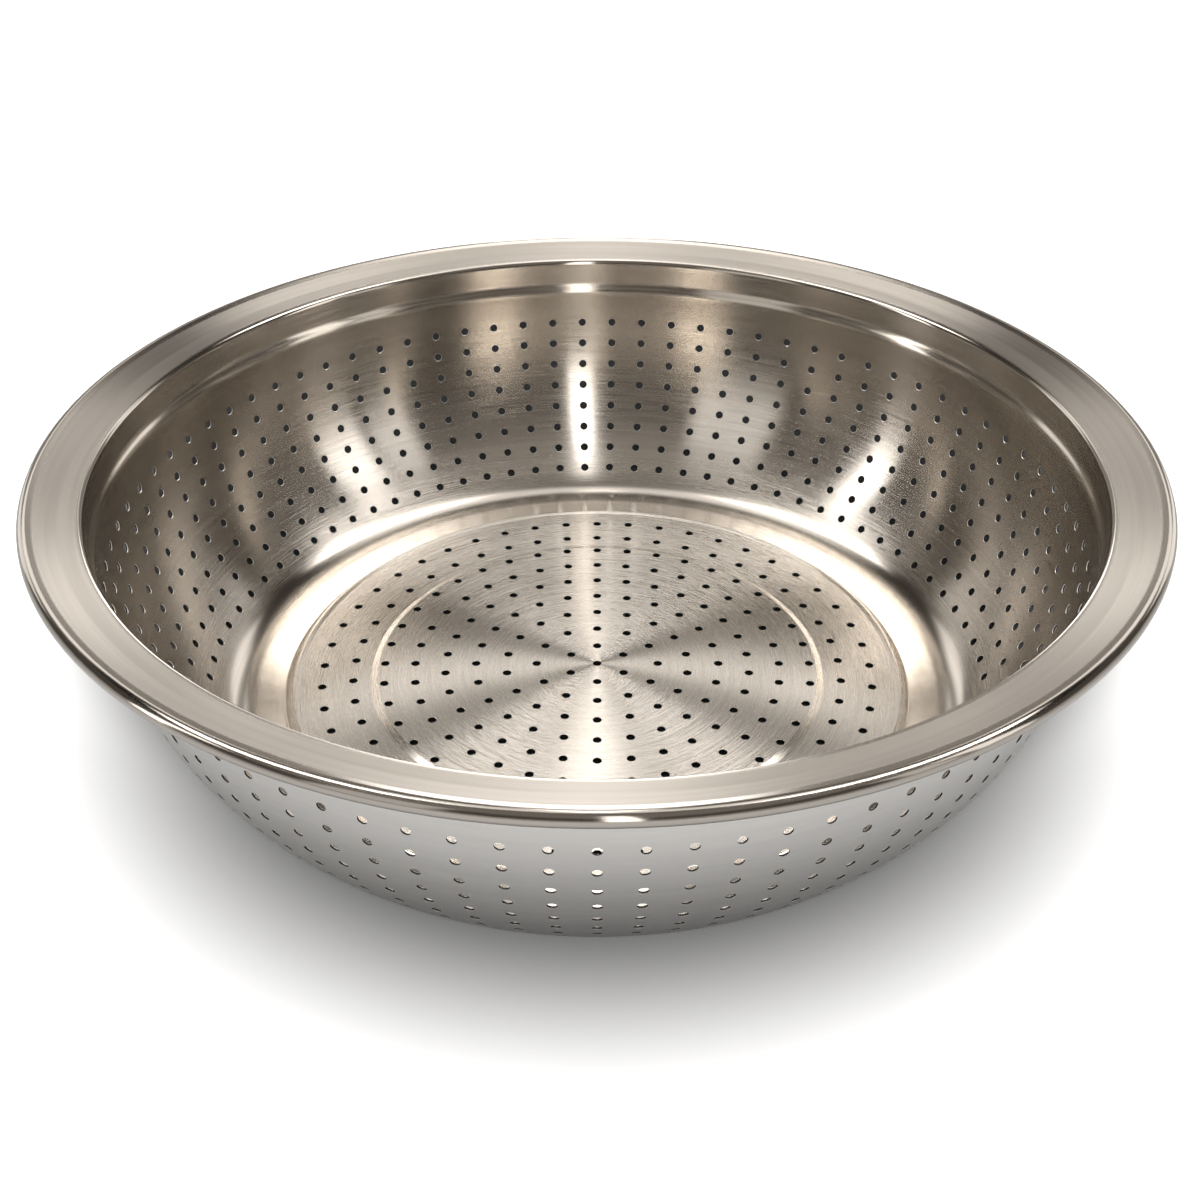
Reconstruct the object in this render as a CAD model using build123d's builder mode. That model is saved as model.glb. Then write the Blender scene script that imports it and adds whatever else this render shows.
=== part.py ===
# Stainless steel colander: a perforated, deep-drawn bowl with a wired rim.
# Millimetres, +Z up, origin on the axis at the plane that the bowl stands on.
import os
from math import asin, atan2, cos, degrees, hypot, pi, radians, sin, sqrt

from build123d import *

os.makedirs("parts", exist_ok=True)

# Sheet and overall size
sheet = 0.7
rim_radius = 180.0
rim_height = 89.0

# Rim: an inner flat, a crease, a steeper outer band and a bead rolled round a wire
flange_width = 18.9
flat_width = 7.6
flat_rise = 1.2
bead_lift = 1.4
wire_diameter = 3.0
wire_clearance = 0.25
rim_bend_radius = 1.8
crease_radius = 8.0
bead_wrap_angle = 296.0

# Wall: a low collar under the rim, a step in, then one arc down to the corner
collar_height = 10.0
collar_step = 1.6
collar_step_height = 2.4
collar_bend_radius = 4.0
belly_height = 74.0
belly_radius = 98.4
corner_radius = 18.0

# Floor: a raised floor inside the standing ring, a low rib at its edge and a raised centre
floor_radius = 106.2
floor_lift = 2.8
floor_slope_width = 3.0
edge_rib_lift = 0.5
edge_rib_width = 2.0
centre_lift = 0.9
centre_slope_width = 2.4
press_radius = 1.2

# Holes
hole_diameter = 3.0
wall_rows = 8
wall_columns = 81
wall_top_margin = 10.8
wall_bottom_margin = 2.6
floor_ring_counts = (6, 12, 18, 24, 30, 36, 40, 45, 48)
floor_edge_margin = 9.9
centre_ring_count = 7
centre_edge_margin = 0.65
cut_overrun = 4.0

# Heights and radii of the sheet's upper face, from the floor outwards
ring_top = sheet
floor_top = ring_top + floor_lift
centre_top = floor_top + centre_lift
ring_pitch = (floor_radius - floor_edge_margin) / len(floor_ring_counts)
centre_radius = ring_pitch * centre_ring_count + hole_diameter / 2 + centre_edge_margin
collar_radius = rim_radius - flange_width
wall_radius = collar_radius - collar_step
belly_centre_radius = wall_radius - belly_radius

# The corner arc touches the standing ring's plane and the belly arc
corner_height = ring_top + corner_radius
corner_reach = belly_radius - corner_radius
corner_drop = belly_height - corner_height
corner_centre_radius = belly_centre_radius + sqrt(corner_reach**2 - corner_drop**2)
belly_angle = degrees(asin(corner_drop / corner_reach))

# The bead's circle, and the point where the flange runs onto it
wire_radius = wire_diameter / 2
bead_inner_radius = wire_radius + wire_clearance
bead_radius = bead_inner_radius + sheet
bead_centre_radius = rim_radius - bead_radius
bead_height = rim_height + bead_lift
crease_at = (collar_radius + flat_width, rim_height + flat_rise)
bead_run = bead_centre_radius - crease_at[0]
bead_climb = bead_height - crease_at[1]
bead_distance = hypot(bead_run, bead_climb)
flange_angle = degrees(atan2(bead_climb, bead_run) + asin(bead_radius / bead_distance))
bead_start_angle = 90 + flange_angle


def on_circle(centre, radius, angle):
    """The point of a circle at an angle in degrees, anticlockwise from straight outwards."""
    return (centre[0] + radius * cos(radians(angle)), centre[1] + radius * sin(radians(angle)))


belly_centre = (belly_centre_radius, belly_height)
corner_centre = (corner_centre_radius, corner_height)
bead_centre = (bead_centre_radius, bead_height)
bead_start = on_circle(bead_centre, bead_radius, bead_start_angle)

# Wall holes stand square to the belly arc, the rows evenly spread along it
belly_length = belly_radius * radians(belly_angle)
row_pitch = (belly_length - wall_top_margin - wall_bottom_margin) / (wall_rows - 1)
hole_places = []
for row in range(wall_rows):
    row_angle = degrees((wall_top_margin + row * row_pitch) / belly_radius)
    row_radius, row_height = on_circle(belly_centre, belly_radius, -row_angle)
    outwards = (cos(radians(row_angle)), 0, -sin(radians(row_angle)))
    hole_places.append(Plane(origin=(row_radius, 0, row_height), z_dir=outwards).location)

# Perforated bowl: floor, corner, wall, collar, flange and bead in one sheet
with BuildPart() as perforated_bowl:
    with BuildSketch(Plane.XZ):
        with BuildLine():
            FilletPolyline(
                (0, centre_top),
                (centre_radius, centre_top),
                (centre_radius + centre_slope_width, floor_top),
                (floor_radius - edge_rib_width, floor_top),
                (floor_radius, floor_top + edge_rib_lift),
                (floor_radius + floor_slope_width, ring_top),
                (corner_centre_radius, ring_top),
                radius=press_radius,
            )
            CenterArc(corner_centre, corner_radius, -90, 90 - belly_angle)
            CenterArc(belly_centre, belly_radius, -belly_angle, belly_angle)
            FilletPolyline(
                (wall_radius, belly_height),
                (wall_radius, rim_height - collar_height - collar_step_height),
                (collar_radius, rim_height - collar_height),
                (collar_radius, rim_height),
                crease_at,
                bead_start,
                radius=[collar_bend_radius, collar_bend_radius, rim_bend_radius, crease_radius],
            )
            offset(amount=sheet, side=Side.RIGHT)
        make_face()
        with BuildLine():
            bead_outside = CenterArc(bead_centre, bead_radius, bead_start_angle, -bead_wrap_angle)
            bead_inside = CenterArc(bead_centre, bead_inner_radius, bead_start_angle, -bead_wrap_angle)
            Line(bead_outside @ 0, bead_inside @ 0)
            Line(bead_outside @ 1, bead_inside @ 1)
        make_face()
    revolve(axis=Axis.Z)

    with PolarLocations(0, wall_columns, start_angle=-90):
        with Locations(*hole_places):
            Cylinder(hole_diameter / 2, cut_overrun, mode=Mode.SUBTRACT)

    with BuildSketch(Plane.XY):
        Circle(hole_diameter / 2)
        for ring, count in enumerate(floor_ring_counts, start=1):
            with PolarLocations(ring_pitch * ring, count, start_angle=90):
                Circle(hole_diameter / 2)
    extrude(amount=centre_top + cut_overrun, mode=Mode.SUBTRACT)
perforated_bowl.part.label = "perforated_bowl"
export_step(perforated_bowl.part, "parts/perforated_bowl.step")

# Rim wire: a closed ring that the flange's edge is rolled round
with BuildPart() as rim_wire:
    with BuildSketch(Plane.XZ):
        with Locations(bead_centre):
            Circle(wire_radius)
    revolve(axis=Axis.Z)
rim_wire.part.label = "rim_wire"
export_step(rim_wire.part, "parts/rim_wire.step")

hole_count = wall_rows * wall_columns + 1 + sum(floor_ring_counts)
print("holes", hole_count, "row pitch", round(row_pitch, 2), "ring pitch", round(ring_pitch, 2))
print("column pitch at the top row", round(2 * pi * wall_radius / wall_columns, 2))
print("rim crown", round(bead_height + bead_radius, 2), "standing ring from",
      round(floor_radius + floor_slope_width, 1), "to", round(corner_centre_radius, 1))
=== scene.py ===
import math

import bpy
import numpy as np
from mathutils import Matrix, Vector


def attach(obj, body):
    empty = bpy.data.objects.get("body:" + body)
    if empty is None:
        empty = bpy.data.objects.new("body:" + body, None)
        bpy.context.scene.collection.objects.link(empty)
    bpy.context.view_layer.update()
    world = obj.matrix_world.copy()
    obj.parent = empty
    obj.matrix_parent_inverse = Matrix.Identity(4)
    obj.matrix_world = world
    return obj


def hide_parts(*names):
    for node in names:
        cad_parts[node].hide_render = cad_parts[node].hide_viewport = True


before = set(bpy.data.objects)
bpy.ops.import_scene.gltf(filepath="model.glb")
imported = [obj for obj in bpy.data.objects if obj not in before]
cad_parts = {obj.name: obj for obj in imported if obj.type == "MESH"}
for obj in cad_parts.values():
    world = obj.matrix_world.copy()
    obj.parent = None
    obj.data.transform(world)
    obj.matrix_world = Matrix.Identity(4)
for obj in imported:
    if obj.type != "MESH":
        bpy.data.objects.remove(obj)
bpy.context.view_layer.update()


# Camera: a 48 mm lens, 0.57 m from the bowl's foot, looking down into the bowl from in front. Its place was
# worked out from the ellipses of the rim's two edges, of the step under the rim and of the standing ring.
camera_place = (0, -0.45614, 0.33984)
pitch, yaw, roll = 0.594547, 0.002113, 0.001065

camera_data = bpy.data.cameras.new("camera")
camera_data.sensor_width = 36
camera_data.lens = 48
camera = bpy.data.objects.new("camera", camera_data)
bpy.context.scene.collection.objects.link(camera)
ahead = Vector((math.sin(yaw) * math.cos(pitch), math.cos(yaw) * math.cos(pitch), -math.sin(pitch)))
sideways = Vector((math.cos(yaw), -math.sin(yaw), 0))
upright = sideways.cross(ahead)
right = sideways * math.cos(roll) + upright * math.sin(roll)
above = upright * math.cos(roll) - sideways * math.sin(roll)
facing = Matrix((right, above, -ahead)).transposed().to_4x4()
camera.matrix_world = Matrix.Translation(camera_place) @ facing
bpy.context.scene.camera = camera
bpy.context.scene.view_settings.view_transform = "Standard"


# Perforated bowl: one sheet of stainless steel, pressed to a stepped floor, a corner, a curved wall, a short
# collar and a flange, whose edge is curled into a round bead. The holes were punched through it, so each has
# a slightly rounded, brighter edge and a sheared wall, painted nearly black as painted shade inside the hole.
# The inside is brushed round the axis.
sheet = 0.0007
touching = 1e-6

# The wall is one arc. A smaller arc, whose centre lies at corner_reach from the wall's and corner_drop below
# it, carries it round the corner to the standing ring.
belly_radius = 0.0984
belly_height = 0.0740
belly_centre_radius = 0.0611
belly_centre = Vector((belly_centre_radius, 0, belly_height))
belly_top = Vector((0.1595, 0, belly_height))
corner_height = 0.0187
corner_reach = 0.0804
corner_drop = 0.0553
belly_angle = math.asin(corner_drop / corner_reach)
corner_centre_radius = belly_centre_radius + math.sqrt(corner_reach**2 - corner_drop**2)
corner_centre = Vector((corner_centre_radius, 0, corner_height))

# The corners of the upper face's line from the standing ring in to the axis: radius and height
ring_top, floor_top, centre_top = sheet, 0.0035, 0.0044
floor_line = [Vector((radius, 0, height)) for radius, height in (
    (0.1092, ring_top),
    (0.1062, 0.0040),
    (0.1042, floor_top),
    (0.07945, floor_top),
    (0.07705, centre_top),
    (0.0, centre_top))]
press_radius, press_steps = 0.0012, 3

# Its corners from the wall's top out to the crease in the flange, with the radius and the steps of each bend
rim_bends = (
    (Vector((0.1595, 0, 0.0766)), 0.0040, 4),
    (Vector((0.1611, 0, 0.0790)), 0.0040, 4),
    (Vector((0.1611, 0, 0.0890)), 0.0018, 6),
    (Vector((0.1687, 0, 0.0902)), 0.0080, 4))
bead_centre = Vector((0.17755, 0, 0.0904))
bead_radius = 0.00245
bead_start_angle = math.radians(107.36)
bead_wrap_angle = math.radians(296)
bead_start = bead_centre + bead_radius * Vector((math.cos(bead_start_angle), 0, math.sin(bead_start_angle)))


def pick(obj, painted_shadows):
    """Selects only the vertices that near says yes to, and goes back to edit mode."""
    bpy.ops.object.mode_set(mode="OBJECT")
    for part in (obj.data.polygons, obj.data.edges):
        part.foreach_set("select", [False] * len(part))
    for vertex in obj.data.vertices:
        vertex.select = bool(painted_shadows(vertex.co))
    bpy.ops.object.mode_set(mode="EDIT")


def draw_to(obj, start, points):
    """Extrudes the section's line from the vertex at start through these points."""
    for point in points:
        pick(obj, lambda co: (co - start).length < touching)
        bpy.ops.mesh.extrude_region_move(TRANSFORM_OT_translate={"value": point - start})
        start = point


def round_off(obj, at, radius, steps):
    """Turns a corner of the section's line into an arc of this radius."""
    bpy.ops.object.mode_set(mode="OBJECT")
    mesh = obj.data
    corner = min(mesh.vertices, key=lambda v: (v.co - at).length)
    ends = [mesh.vertices[i].co for e in mesh.edges for i in e.vertices if corner.index in e.vertices]
    sides = [(co - corner.co).normalized() for co in ends if (co - corner.co).length > touching]
    turn = math.pi - sides[0].angle(sides[1])
    pick(obj, lambda co: (co - at).length < touching)
    bpy.ops.mesh.bevel(offset=radius * math.tan(turn / 2), segments=steps, affect="VERTICES")


# One vertex at the wall's top grows into the section's line, down to the axis and then out to the bead
bpy.ops.object.select_all(action="DESELECT")
bpy.ops.mesh.primitive_plane_add(size=0.01, location=(0, 0, 0))
bowl = bpy.context.object
bowl.name = "bowl_pressing"
bpy.ops.object.mode_set(mode="EDIT")
bpy.ops.mesh.select_mode(type="VERT")
bpy.ops.mesh.merge(type="CENTER")
bpy.ops.transform.translate(value=belly_top)
bpy.ops.mesh.spin(steps=16, angle=-belly_angle, center=belly_centre, axis=(0, 1, 0))
bpy.ops.mesh.spin(steps=10, angle=belly_angle - math.pi / 2, center=corner_centre, axis=(0, 1, 0))
draw_to(bowl, Vector((corner_centre.x, 0, ring_top)), floor_line)
draw_to(bowl, belly_top, [bend[0] for bend in rim_bends] + [bead_start])
for place in floor_line[:-1]:
    round_off(bowl, place, press_radius, press_steps)
for place, radius, steps in rim_bends:
    round_off(bowl, place, radius, steps)
pick(bowl, lambda co: (co - bead_start).length < touching)
bpy.ops.mesh.spin(steps=26, angle=-bead_wrap_angle, center=bead_centre, axis=(0, 1, 0))

# The line is turned round the axis, and the sheet's thickness is added under it
bpy.ops.mesh.select_all(action="SELECT")
bpy.ops.mesh.spin(steps=162, angle=2 * math.pi, center=(0, 0, 0), axis=(0, 0, 1))
bpy.ops.mesh.select_all(action="SELECT")
bpy.ops.mesh.remove_doubles(threshold=touching)
bpy.ops.mesh.normals_make_consistent(inside=False)
bpy.ops.object.mode_set(mode="OBJECT")
middle = min(bowl.data.polygons, key=lambda p: p.center.xy.length)
if middle.normal.z < 0:
    bowl.data.flip_normals()
finishes = [bpy.data.materials.new(name) for name in (
    "brushed_steel_inside", "satin_steel_outside", "punched_edge", "hole_wall_painted_shade")]
brushed_inside, satin_outside, punched_edge, hole_wall_shade = finishes
for finish in finishes:
    bowl.data.materials.append(finish)
inside_slot, outside_slot, edge_slot, hole_wall_slot = range(4)
thickness = bowl.modifiers.new("thickness", "SOLIDIFY")
thickness.thickness = sheet
thickness.offset = -1
thickness.use_even_offset = True
thickness.material_offset = outside_slot
thickness.material_offset_rim = outside_slot
bpy.ops.object.modifier_apply(modifier=thickness.name)

# Where the holes are: the place of each circle's first one on the upper face, the way that it is punched,
# their count and the first one's turn in degrees. The wall's are square to its arc, and the floor's upright.
hole_radius = 0.0015
wall_rows, wall_columns = 8, 81
wall_top_margin, wall_bottom_margin = 0.0108, 0.0026
wall_holes_length = belly_radius * belly_angle - wall_top_margin - wall_bottom_margin
ring_pitch = 0.0107
rings_on_raised_centre = 7
down = Vector((0, 0, -1))
hole_circles = []
for row in range(wall_rows):
    turned = (wall_top_margin + row * wall_holes_length / (wall_rows - 1)) / belly_radius
    outwards = Vector((math.cos(turned), 0, -math.sin(turned)))
    hole_circles.append((belly_centre + belly_radius * outwards, outwards, wall_columns, -90))
for ring, count in enumerate((6, 12, 18, 24, 30, 36, 40, 45, 48), start=1):
    top = centre_top if ring <= rings_on_raised_centre else floor_top
    hole_circles.append((Vector((ring_pitch * ring, 0, top)), down, count, 90))
hole_circles.append((Vector((0, 0, centre_top)), down, 1, 0))

# A punch is a thin pin that flares at both faces of the sheet. Each circle's first is copied round the axis.
pin_half = 0.00027
flare_length, flare_growth = 0.0009, 1.5
punches = []
for place, way, count, turn in hole_circles:
    bpy.ops.object.select_all(action="DESELECT")
    bpy.ops.mesh.primitive_cylinder_add(vertices=16, radius=hole_radius, depth=2 * pin_half,
                                        end_fill_type="NGON")
    punch = bpy.context.object
    for finish in finishes:
        punch.data.materials.append(finish)
    bpy.ops.object.mode_set(mode="EDIT")
    bpy.ops.mesh.select_mode(type="VERT")
    for side in (1, -1):
        pick(punch, lambda co: abs(co.z - side * pin_half) < touching)
        bpy.ops.mesh.extrude_region_move(TRANSFORM_OT_translate={"value": (0, 0, side * flare_length)})
        bpy.ops.transform.resize(value=(flare_growth, flare_growth, 1))
    bpy.ops.object.mode_set(mode="OBJECT")
    for face in punch.data.polygons:
        is_pin_side = abs(face.normal.z) < 0.1
        face.material_index = hole_wall_slot if is_pin_side else edge_slot
    around = Matrix.Rotation(math.radians(turn), 4, "Z")
    in_sheet = Matrix.Translation(place + way * sheet / 2)
    aimed = way.to_track_quat("Z", "Y").to_matrix().to_4x4()
    punch.matrix_world = around @ in_sheet @ aimed
    bpy.ops.object.transform_apply(location=True, rotation=True, scale=True)
    if count > 1:
        bpy.ops.object.mode_set(mode="EDIT")
        bpy.ops.mesh.select_all(action="SELECT")
        bpy.ops.mesh.spin(steps=count - 1, dupli=True, angle=2 * math.pi * (count - 1) / count,
                          center=(0, 0, 0), axis=(0, 0, 1))
        bpy.ops.object.mode_set(mode="OBJECT")
    punches.append(punch)
bpy.ops.object.select_all(action="DESELECT")
for punch in punches:
    punch.select_set(True)
bpy.context.view_layer.objects.active = punches[0]
bpy.ops.object.join()
all_punches = bpy.context.object
bpy.ops.object.select_all(action="DESELECT")
bowl.select_set(True)
bpy.context.view_layer.objects.active = bowl
unpunched = bowl.data.copy()
cut = bowl.modifiers.new("holes", "BOOLEAN")
cut.operation = "DIFFERENCE"
cut.solver = "MANIFOLD"
cut.object = all_punches
bpy.ops.object.modifier_apply(modifier=cut.name)
bpy.data.objects.remove(all_punches)
bpy.ops.object.shade_smooth_by_angle(angle=math.radians(25))


def section_runs(mesh, slot):
    """The edges of one skin of the sheet in the half plane y = 0, each end as its place and its normal."""
    in_plane = {v.index for v in mesh.vertices if abs(v.co.y) < 1e-7 and v.co.x > -1e-7}
    return np.array([[mesh.vertices[k].co.xz[:] + mesh.vertices[k].normal.xz[:] for k in pair]
                     for face in mesh.polygons if face.material_index == slot
                     for pair in face.edge_keys if in_plane.issuperset(pair)])


def normals_from(runs, places):
    """The normal at the nearest point of the section, turned round the axis to each of these places."""
    # The two smallest values only keep the divisions off zero
    flat_places = np.stack([np.hypot(places[:, 0], places[:, 1]), places[:, 2]], 1)
    bearing = places[:, :2] / np.maximum(flat_places[:, :1], 1e-9)
    start, along = runs[:, 0, :2], runs[:, 1, :2] - runs[:, 0, :2]
    shares = ((flat_places[:, None] - start) * along).sum(2) / np.maximum((along**2).sum(1), 1e-16)
    shares = np.clip(shares, 0, 1)
    away = np.linalg.norm(start + shares[..., None] * along - flat_places[:, None], axis=2)
    nearest = away.argmin(1)
    share = shares[np.arange(len(places)), nearest][:, None]
    leaning = runs[nearest, 0, 2:] * (1 - share) + runs[nearest, 1, 2:] * share
    normals = np.column_stack([bearing * leaning[:, :1], leaning[:, 1]])
    return normals / np.linalg.norm(normals, axis=1)[:, None]


# The sheet's faces take the normals of the pressing before it was punched, so the holes leave it smooth
mesh = bowl.data
places = np.array([v.co for v in mesh.vertices])
skin_normals = [normals_from(section_runs(unpunched, slot), places) for slot in (inside_slot, outside_slot)]
bpy.data.meshes.remove(unpunched)
normals = np.zeros((len(mesh.loops), 3))
for face in mesh.polygons:
    if face.material_index in (inside_slot, outside_slot):
        for k in face.loop_indices:
            normals[k] = skin_normals[face.material_index][mesh.loops[k].vertex_index]
mesh.normals_split_custom_set(normals)


def maker_of(tree):
    """A maker of this tree's nodes, whose inputs are set or linked by name or number."""

    def add(kind, values=(), **settings):
        node = tree.nodes.new(kind)
        for name, value in settings.items():
            setattr(node, name, value)
        for name, value in dict(values).items():
            if isinstance(value, bpy.types.NodeSocket):
                tree.links.new(value, node.inputs[name])
            else:
                node.inputs[name].default_value = value
        return node

    return add


def nodes_of(material):
    """The material's shader, the maker of its nodes and its links."""
    material.use_nodes = True
    tree = material.node_tree
    return tree.nodes["Principled BSDF"], maker_of(tree), tree.links


def maths(add, operation, *values):
    """The outcome of a sum, a product or the like."""
    return add("ShaderNodeMath", dict(enumerate(values)), operation=operation).outputs[0]


def ramp(add, value, low, high, to_low=0.0, to_high=1.0):
    """Runs smoothly from to_low to to_high as value goes from low to high."""
    return add("ShaderNodeMapRange", {"Value": value, "From Min": low, "From Max": high, "To Min": to_low,
                                      "To Max": to_high}, interpolation_type="SMOOTHSTEP").outputs["Result"]


def between(add, value, rise, fall):
    """Climbs from zero to one over the rise, and drops back to zero over the fall."""
    return maths(add, "MULTIPLY", ramp(add, value, *rise), ramp(add, value, *fall, 1.0, 0.0))


def blend(add, share, first, second):
    """Goes straight from the first value to the second as share goes from zero to one."""
    return add("ShaderNodeMapRange", {"Value": share, "To Min": first, "To Max": second}).outputs["Result"]


def mix_colours(add, share, first, second, blend_type="MIX"):
    """Takes the first colour over to the second by this share, or multiplies it by the second."""
    return add("ShaderNodeMix", {0: share, 6: first, 7: second}, data_type="RGBA",
               blend_type=blend_type).outputs[2]


def place_on_object(add):
    """The x, y and height of the place that is shaded."""
    return add("ShaderNodeSeparateXYZ", {0: add("ShaderNodeTexCoord").outputs["Object"]}).outputs


def radius_of(add, x, y):
    """The distance from the axis."""
    squares = maths(add, "ADD", maths(add, "MULTIPLY", x, x), maths(add, "MULTIPLY", y, y))
    return maths(add, "SQRT", squares)


def brush_lines(add, fine, breaks):
    """Noise drawn out round the axis: fine is how many lines a metre holds, breaks how often they end."""
    x, y, height = place_on_object(add)
    radius = radius_of(add, x, y)
    flat_place = add("ShaderNodeCombineXYZ", {0: x, 1: y}).outputs[0]
    bearing = add("ShaderNodeVectorMath", {0: flat_place}, operation="NORMALIZE").outputs[0]
    slow = add("ShaderNodeVectorMath", {0: bearing, "Scale": breaks}, operation="SCALE").outputs[0]
    across = add("ShaderNodeCombineXYZ", {0: radius, 1: radius, 2: height}).outputs[0]
    quick = add("ShaderNodeVectorMath", {0: across, "Scale": fine}, operation="SCALE").outputs[0]
    where = add("ShaderNodeVectorMath", {0: quick, 1: slow}, operation="ADD").outputs[0]
    noise = add("ShaderNodeTexNoise", {"Vector": where, "Scale": 1.0, "Detail": 3.0, "Roughness": 0.6})
    return noise.outputs["Fac"]


def lined_steel(material, fine, breaks, dark, light, roughness):
    """Bare steel, darker and lighter along fine lines. Also gives its colour, to be worked on further."""
    shader, add, links = nodes_of(material)
    colour = mix_colours(add, brush_lines(add, fine, breaks), dark, light)
    links.new(colour, shader.inputs["Base Color"])
    shader.inputs["Metallic"].default_value = 1.0
    shader.inputs["Roughness"].default_value = roughness
    return shader, add, links, colour


def brushed_steel(material, dark, light, roughness, stretch):
    """Steel brushed round the axis, with its highlights stretched across the brush lines."""
    shader, add, links, colour = lined_steel(
        material, fine=420.0, breaks=2.2, dark=dark, light=light, roughness=roughness)
    shader.inputs["Anisotropic"].default_value = stretch
    shader.inputs["Anisotropic Rotation"].default_value = 0.25
    tangent = add("ShaderNodeTangent", direction_type="RADIAL", axis="Z").outputs[0]
    links.new(tangent, shader.inputs["Tangent"])
    lines = brush_lines(add, fine=2600.0, breaks=9.0)
    grain = add("ShaderNodeMapRange", {"Value": lines, "From Min": 0.3, "From Max": 0.7,
                                       "To Min": roughness - 0.05, "To Max": roughness + 0.07}).outputs[0]
    links.new(grain, shader.inputs["Roughness"])
    bump = add("ShaderNodeBump", {"Strength": 0.06, "Distance": 0.00004, "Height": lines})
    links.new(bump.outputs[0], shader.inputs["Normal"])
    return shader, add, links, colour, grain


# Inside: painted light in its colour, by zones from the floor out: the floor lighter, the standing ring
# lighter still as a painted highlight, the corner darker as painted shade, and the upper wall and the flange
# darker as painted shade
shader, add, links, colour, grain = brushed_steel(
    brushed_inside, dark=(0.50, 0.470, 0.435, 1), light=(0.66, 0.630, 0.595, 1), roughness=0.25, stretch=0.97)
x, y, height = place_on_object(add)
radius = radius_of(add, x, y)
painted_light = (1.14, 1.12, 1.09, 1)
for zone, zone_painted_light in (
        (between(add, radius, (0.1075, 0.1095), (0.1180, 0.1205)), (1.26, 1.25, 1.23, 1)),
        (between(add, radius, (0.1185, 0.1210), (0.1290, 0.1350)), (0.70, 0.68, 0.65, 1)),
        (ramp(add, height, 0.022, 0.056), (0.84, 0.812, 0.762, 1)),
        (ramp(add, height, 0.087, 0.089), (0.66, 0.64, 0.615, 1))):
    painted_light = mix_colours(add, zone, painted_light, zone_painted_light)
links.new(mix_colours(add, 1.0, colour, painted_light, "MULTIPLY"), shader.inputs["Base Color"])

# The wall is a little smoother than the floor. The corner, the rim's bend and the bead are smoother still,
# and the flange between the bend and the bead is rougher.
corner_zone = between(add, radius, (0.1070, 0.1090), (0.1270, 0.1310))
rim_zone = ramp(add, height, 0.0865, 0.0885)
flange_zone = between(add, radius, (0.1622, 0.1640), (0.1746, 0.1758))
wall_change = ramp(add, height, 0.0060, 0.0200, 0.0, -0.07)
roughness = maths(add, "ADD", grain, wall_change)
for zone, zone_roughness in ((corner_zone, 0.13), (rim_zone, 0.12), (flange_zone, 0.31)):
    roughness = blend(add, zone, roughness, zone_roughness)
links.new(roughness, shader.inputs["Roughness"])

# Outside: the same brushing, but duller and with less of a stretch
brushed_steel(satin_outside, dark=(0.56, 0.545, 0.525, 1), light=(0.66, 0.645, 0.625, 1), roughness=0.36,
              stretch=0.35)

# Holes: the punch leaves a burnished edge and a torn wall, whose near-black colour is painted shade inside
# the hole
lined_steel(punched_edge, fine=3000.0, breaks=200.0, dark=(0.70, 0.68, 0.65, 1), light=(0.88, 0.86, 0.83, 1),
            roughness=0.38)
lined_steel(hole_wall_shade, fine=3000.0, breaks=900.0, dark=(0.02, 0.019, 0.018, 1),
            light=(0.07, 0.067, 0.064, 1), roughness=0.6)

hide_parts("perforated_bowl")
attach(bowl, "root")


# Rim wire: a closed ring of drawn steel wire, 3 mm thick, which the flange's edge is curled round. It hardly
# shows, only through the narrow gap under the bead.
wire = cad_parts["rim_wire"]
wire_steel = bpy.data.materials.new("drawn_wire_steel")
lined_steel(wire_steel, fine=3200.0, breaks=14.0, dark=(0.44, 0.43, 0.42, 1), light=(0.58, 0.57, 0.56, 1),
            roughness=0.4)
wire.data.materials.clear()
wire.data.materials.append(wire_steel)


# Floor and backdrop: white paper under the bowl, with painted shadow in its colour: a soft painted contact
# shadow close round the standing ring, and, for the camera alone, a painted shadow behind the bowl. Far out
# it shines for the camera, as white as the world there.
paper_height = -0.0002
ring_shade = (0.110, 0.252, 0.058, 1.0)
behind_centre = (0, 0.14, 0)
behind_shade = (0.185, 0.245, 0.10, 1.0)
white_in_steel, white_to_camera = 0.48, 1.0
far_out = (0.42, 0.60)

bpy.ops.object.select_all(action="DESELECT")
bpy.ops.mesh.primitive_plane_add(size=12, location=(0, 0, paper_height))
ground = bpy.context.object
ground.name = "ground"
paper = bpy.data.materials.new("white_paper")
shader, add, links = nodes_of(paper)
shader.inputs["Roughness"].default_value = 0.9
shader.inputs["Specular IOR Level"].default_value = 0.0
seen = add("ShaderNodeLightPath").outputs["Is Camera Ray"]
spot = add("ShaderNodeTexCoord").outputs["Object"]
out = add("ShaderNodeVectorMath", {0: spot}, operation="LENGTH").outputs["Value"]
behind = add("ShaderNodeVectorMath", {0: spot, 1: behind_centre}, operation="DISTANCE").outputs["Value"]
# Painted shadow behind the bowl for the camera alone, times the painted contact shadow round the standing
# ring
painted_shadow_behind = blend(add, seen, 1.0, ramp(add, behind, *behind_shade))
painted_shadows = maths(add, "MULTIPLY", ramp(add, out, *ring_shade), painted_shadow_behind)
white = maths(add, "MULTIPLY", painted_shadows, blend(add, seen, white_in_steel, white_to_camera))
grey = add("ShaderNodeCombineColor", {0: white, 1: white, 2: white}).outputs[0]
links.new(grey, shader.inputs["Base Color"])
shader.inputs["Emission Color"].default_value = (1, 1, 1, 1)
links.new(maths(add, "MULTIPLY", seen, ramp(add, out, *far_out)), shader.inputs["Emission Strength"])
ground.data.materials.append(paper)


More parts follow.
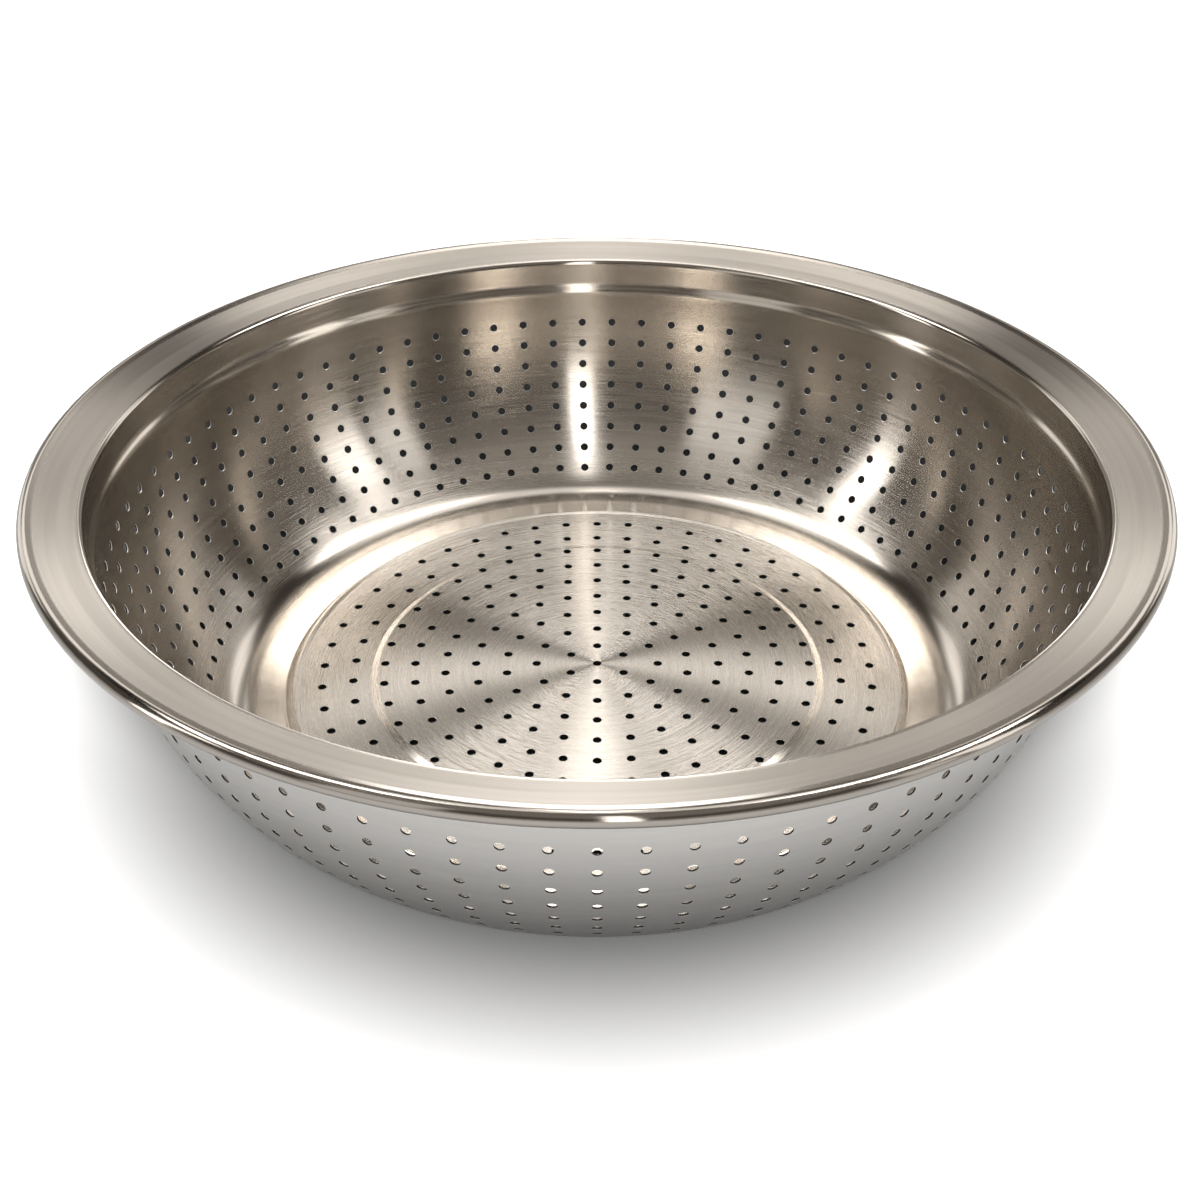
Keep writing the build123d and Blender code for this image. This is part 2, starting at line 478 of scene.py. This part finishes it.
# Studio: the camera sees a white world, and the paper gets a weak even light from it. The steel sees a warm
# room: a pale back, a pale strip low down all round, a dim front, and panels of light. The paper has a lamp
# of its own, over and behind the camera, so that the bowl's shadow falls straight back.
even_light = (0.25, 0.25, 0.25, 1)
white_world = (1, 1, 1, 1)
panel_fade, panel_edge = 1.8, 0.08

world = bpy.data.worlds.new("studio")
bpy.context.scene.world = world
world.use_nodes = True
add, links = maker_of(world.node_tree), world.node_tree.links
toward = add("ShaderNodeTexCoord").outputs["Generated"]
east, north, up = add("ShaderNodeSeparateXYZ", {0: toward}).outputs
heading = maths(add, "ARCTAN2", east, north)

# The room is pale to the north and dims to both sides, with the strip low down. High up it is dark, apart
# from a grey ceiling over the front and a bright one over the north.
level = ramp(add, maths(add, "ABSOLUTE", heading), 0.30, 1.1, 0.46, 0.125)
low_strip = ramp(add, up, 0.03, 0.20, 0.80, 0.0)
level = maths(add, "MAXIMUM", level, low_strip)
dim_top = ramp(add, up, 0.58, 0.67, 1.0, 0.22)
level = maths(add, "MULTIPLY", level, dim_top)
front_ceiling = maths(add, "MULTIPLY", ramp(add, up, 0.45, 0.70, 0.0, 0.34),
                      ramp(add, north, -0.2, 0.1, 1.0, 0.0))
level = maths(add, "MAXIMUM", level, front_ceiling)
north_ceiling = maths(add, "MULTIPLY", ramp(add, up, 0.76, 0.90), ramp(add, north, 0.05, 0.16, 0.10, 1.8))
level = maths(add, "MAXIMUM", level, north_ceiling)

# Each panel: its heading and half its width in radians, its lower and upper end as the upward part of the
# way towards it, and its strength
for turn, half, low, high, strength in (
        (-0.01, 0.045, -0.2, 0.36, 4.6),
        (-0.01, 0.045, 0.36, 0.57, 1.7),
        (-0.01, 0.06, 0.78, 0.93, 4.6),
        (0.42, 0.16, 0.48, 0.58, 2.1),
        (-0.42, 0.16, 0.48, 0.58, 2.1),
        (1.05, 0.15, 0.79, 0.92, 13.0),
        (-1.05, 0.15, 0.79, 0.92, 13.0),
        (0.80, 0.12, 0.0, 0.42, 1.9),
        (1.86, 0.08, 0.0, 0.62, 2.2),
        (2.12, 0.07, 0.0, 0.6, 1.1),
        (3.065, 0.04, 0.0, 0.85, 3.6),
        (-2.46, 0.15, 0.0, 0.65, 0.95),
        (-1.70, 0.05, 0.0, 0.62, 4.0),
        (-0.80, 0.12, 0.0, 0.42, 1.7)):
    off = maths(add, "ABSOLUTE", maths(add, "SUBTRACT", heading, turn))
    sides = ramp(add, off, half, half * panel_fade, strength, 0.0)
    ends = between(add, up, (low - panel_edge, low), (high, high + panel_edge))
    level = maths(add, "MAXIMUM", level, maths(add, "MULTIPLY", sides, ends))

# The dimmer the room is, the warmer its light
pale = maths(add, "MINIMUM", level, 1.0)
green = maths(add, "MULTIPLY", level, blend(add, pale, 0.90, 0.975))
blue = maths(add, "MULTIPLY", level, blend(add, pale, 0.78, 0.945))
room = add("ShaderNodeCombineColor", {0: level, 1: green, 2: blue}).outputs[0]
path = add("ShaderNodeLightPath").outputs
lit = mix_colours(add, path["Is Glossy Ray"], even_light, room)
shown = mix_colours(add, path["Is Camera Ray"], lit, white_world)
links.new(shown, world.node_tree.nodes["Background"].inputs["Color"])

lamp_place = Vector((0, -1.0, 0.745))
lamp_aim = Vector((0, 0.3, 0))
lamp = bpy.data.lights.new("paper_lamp", "AREA")
lamp.shape = "SQUARE"
lamp.size = 0.34
lamp.energy = 29
lamp.color = (1.0, 0.995, 0.985)
lamp.use_nodes = True
even = maker_of(lamp.node_tree)("ShaderNodeLightFalloff", {"Strength": 1.0}).outputs["Constant"]
lamp.node_tree.links.new(even, lamp.node_tree.nodes["Emission"].inputs["Strength"])
holder = bpy.data.objects.new("paper_lamp", lamp)
bpy.context.scene.collection.objects.link(holder)
holder.location = lamp_place
holder.rotation_euler = (lamp_aim - lamp_place).to_track_quat("-Z", "Y").to_euler()
holder.visible_glossy = False
